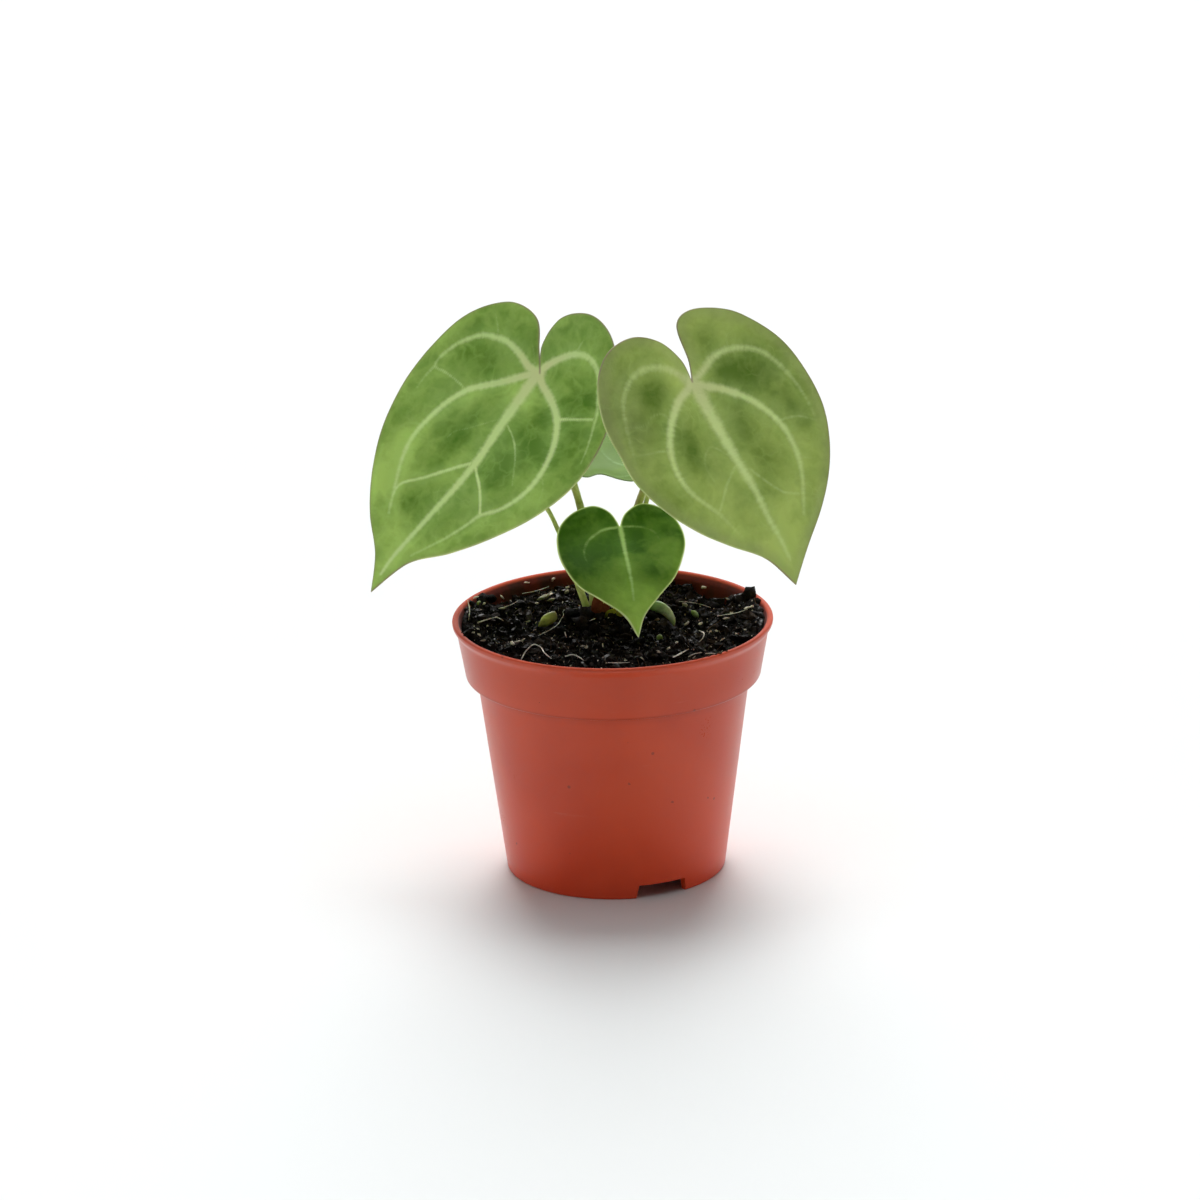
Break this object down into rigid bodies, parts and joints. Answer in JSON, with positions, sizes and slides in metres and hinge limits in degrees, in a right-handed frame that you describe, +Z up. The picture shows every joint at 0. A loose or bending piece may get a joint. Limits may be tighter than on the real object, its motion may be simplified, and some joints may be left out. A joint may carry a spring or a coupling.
{
  "type": "potted plant",
  "caption": "Small foliage plant with heart-shaped, pale-veined leaves on slender stalks, in a round tapered nursery pot with a banded collar and a notched foot.",
  "frame": {"origin": "on the surface that the pot stands on, under the middle of the whole plant's bounding box; the pot's axis stands at x = 2.06 mm, y = -4.44 mm", "axes": "+Z up along the pot's axis, the pictured front towards -Y, +X to the viewer's right"},
  "size_m": [0.0858, 0.0688, 0.1074],
  "materials": {
    "pot_plastic": "semi-matt moulded terracotta-coloured plastic",
    "peat": "rough, moist, crumbly",
    "rootstock": "matt, fibrous",
    "stalk": "smooth, slightly waxy",
    "blade": "velvety with pale veins",
    "young_growth": "smooth, tender"
  },
  "bodies": {
    "root": {"pot": "pot_plastic", "soil": "peat", "crown_and_roots": "rootstock", "stalk_left": "stalk", "stalk_right": "stalk", "stalk_front": "stalk", "stalk_back": "stalk", "stalk_hind_left": "stalk", "blade_left": "blade", "blade_right": "blade", "blade_front": "blade", "blade_back": "blade", "blade_hind_left": "blade", "shoot": "young_growth", "bud": "young_growth"}
  },
  "joints": []
}
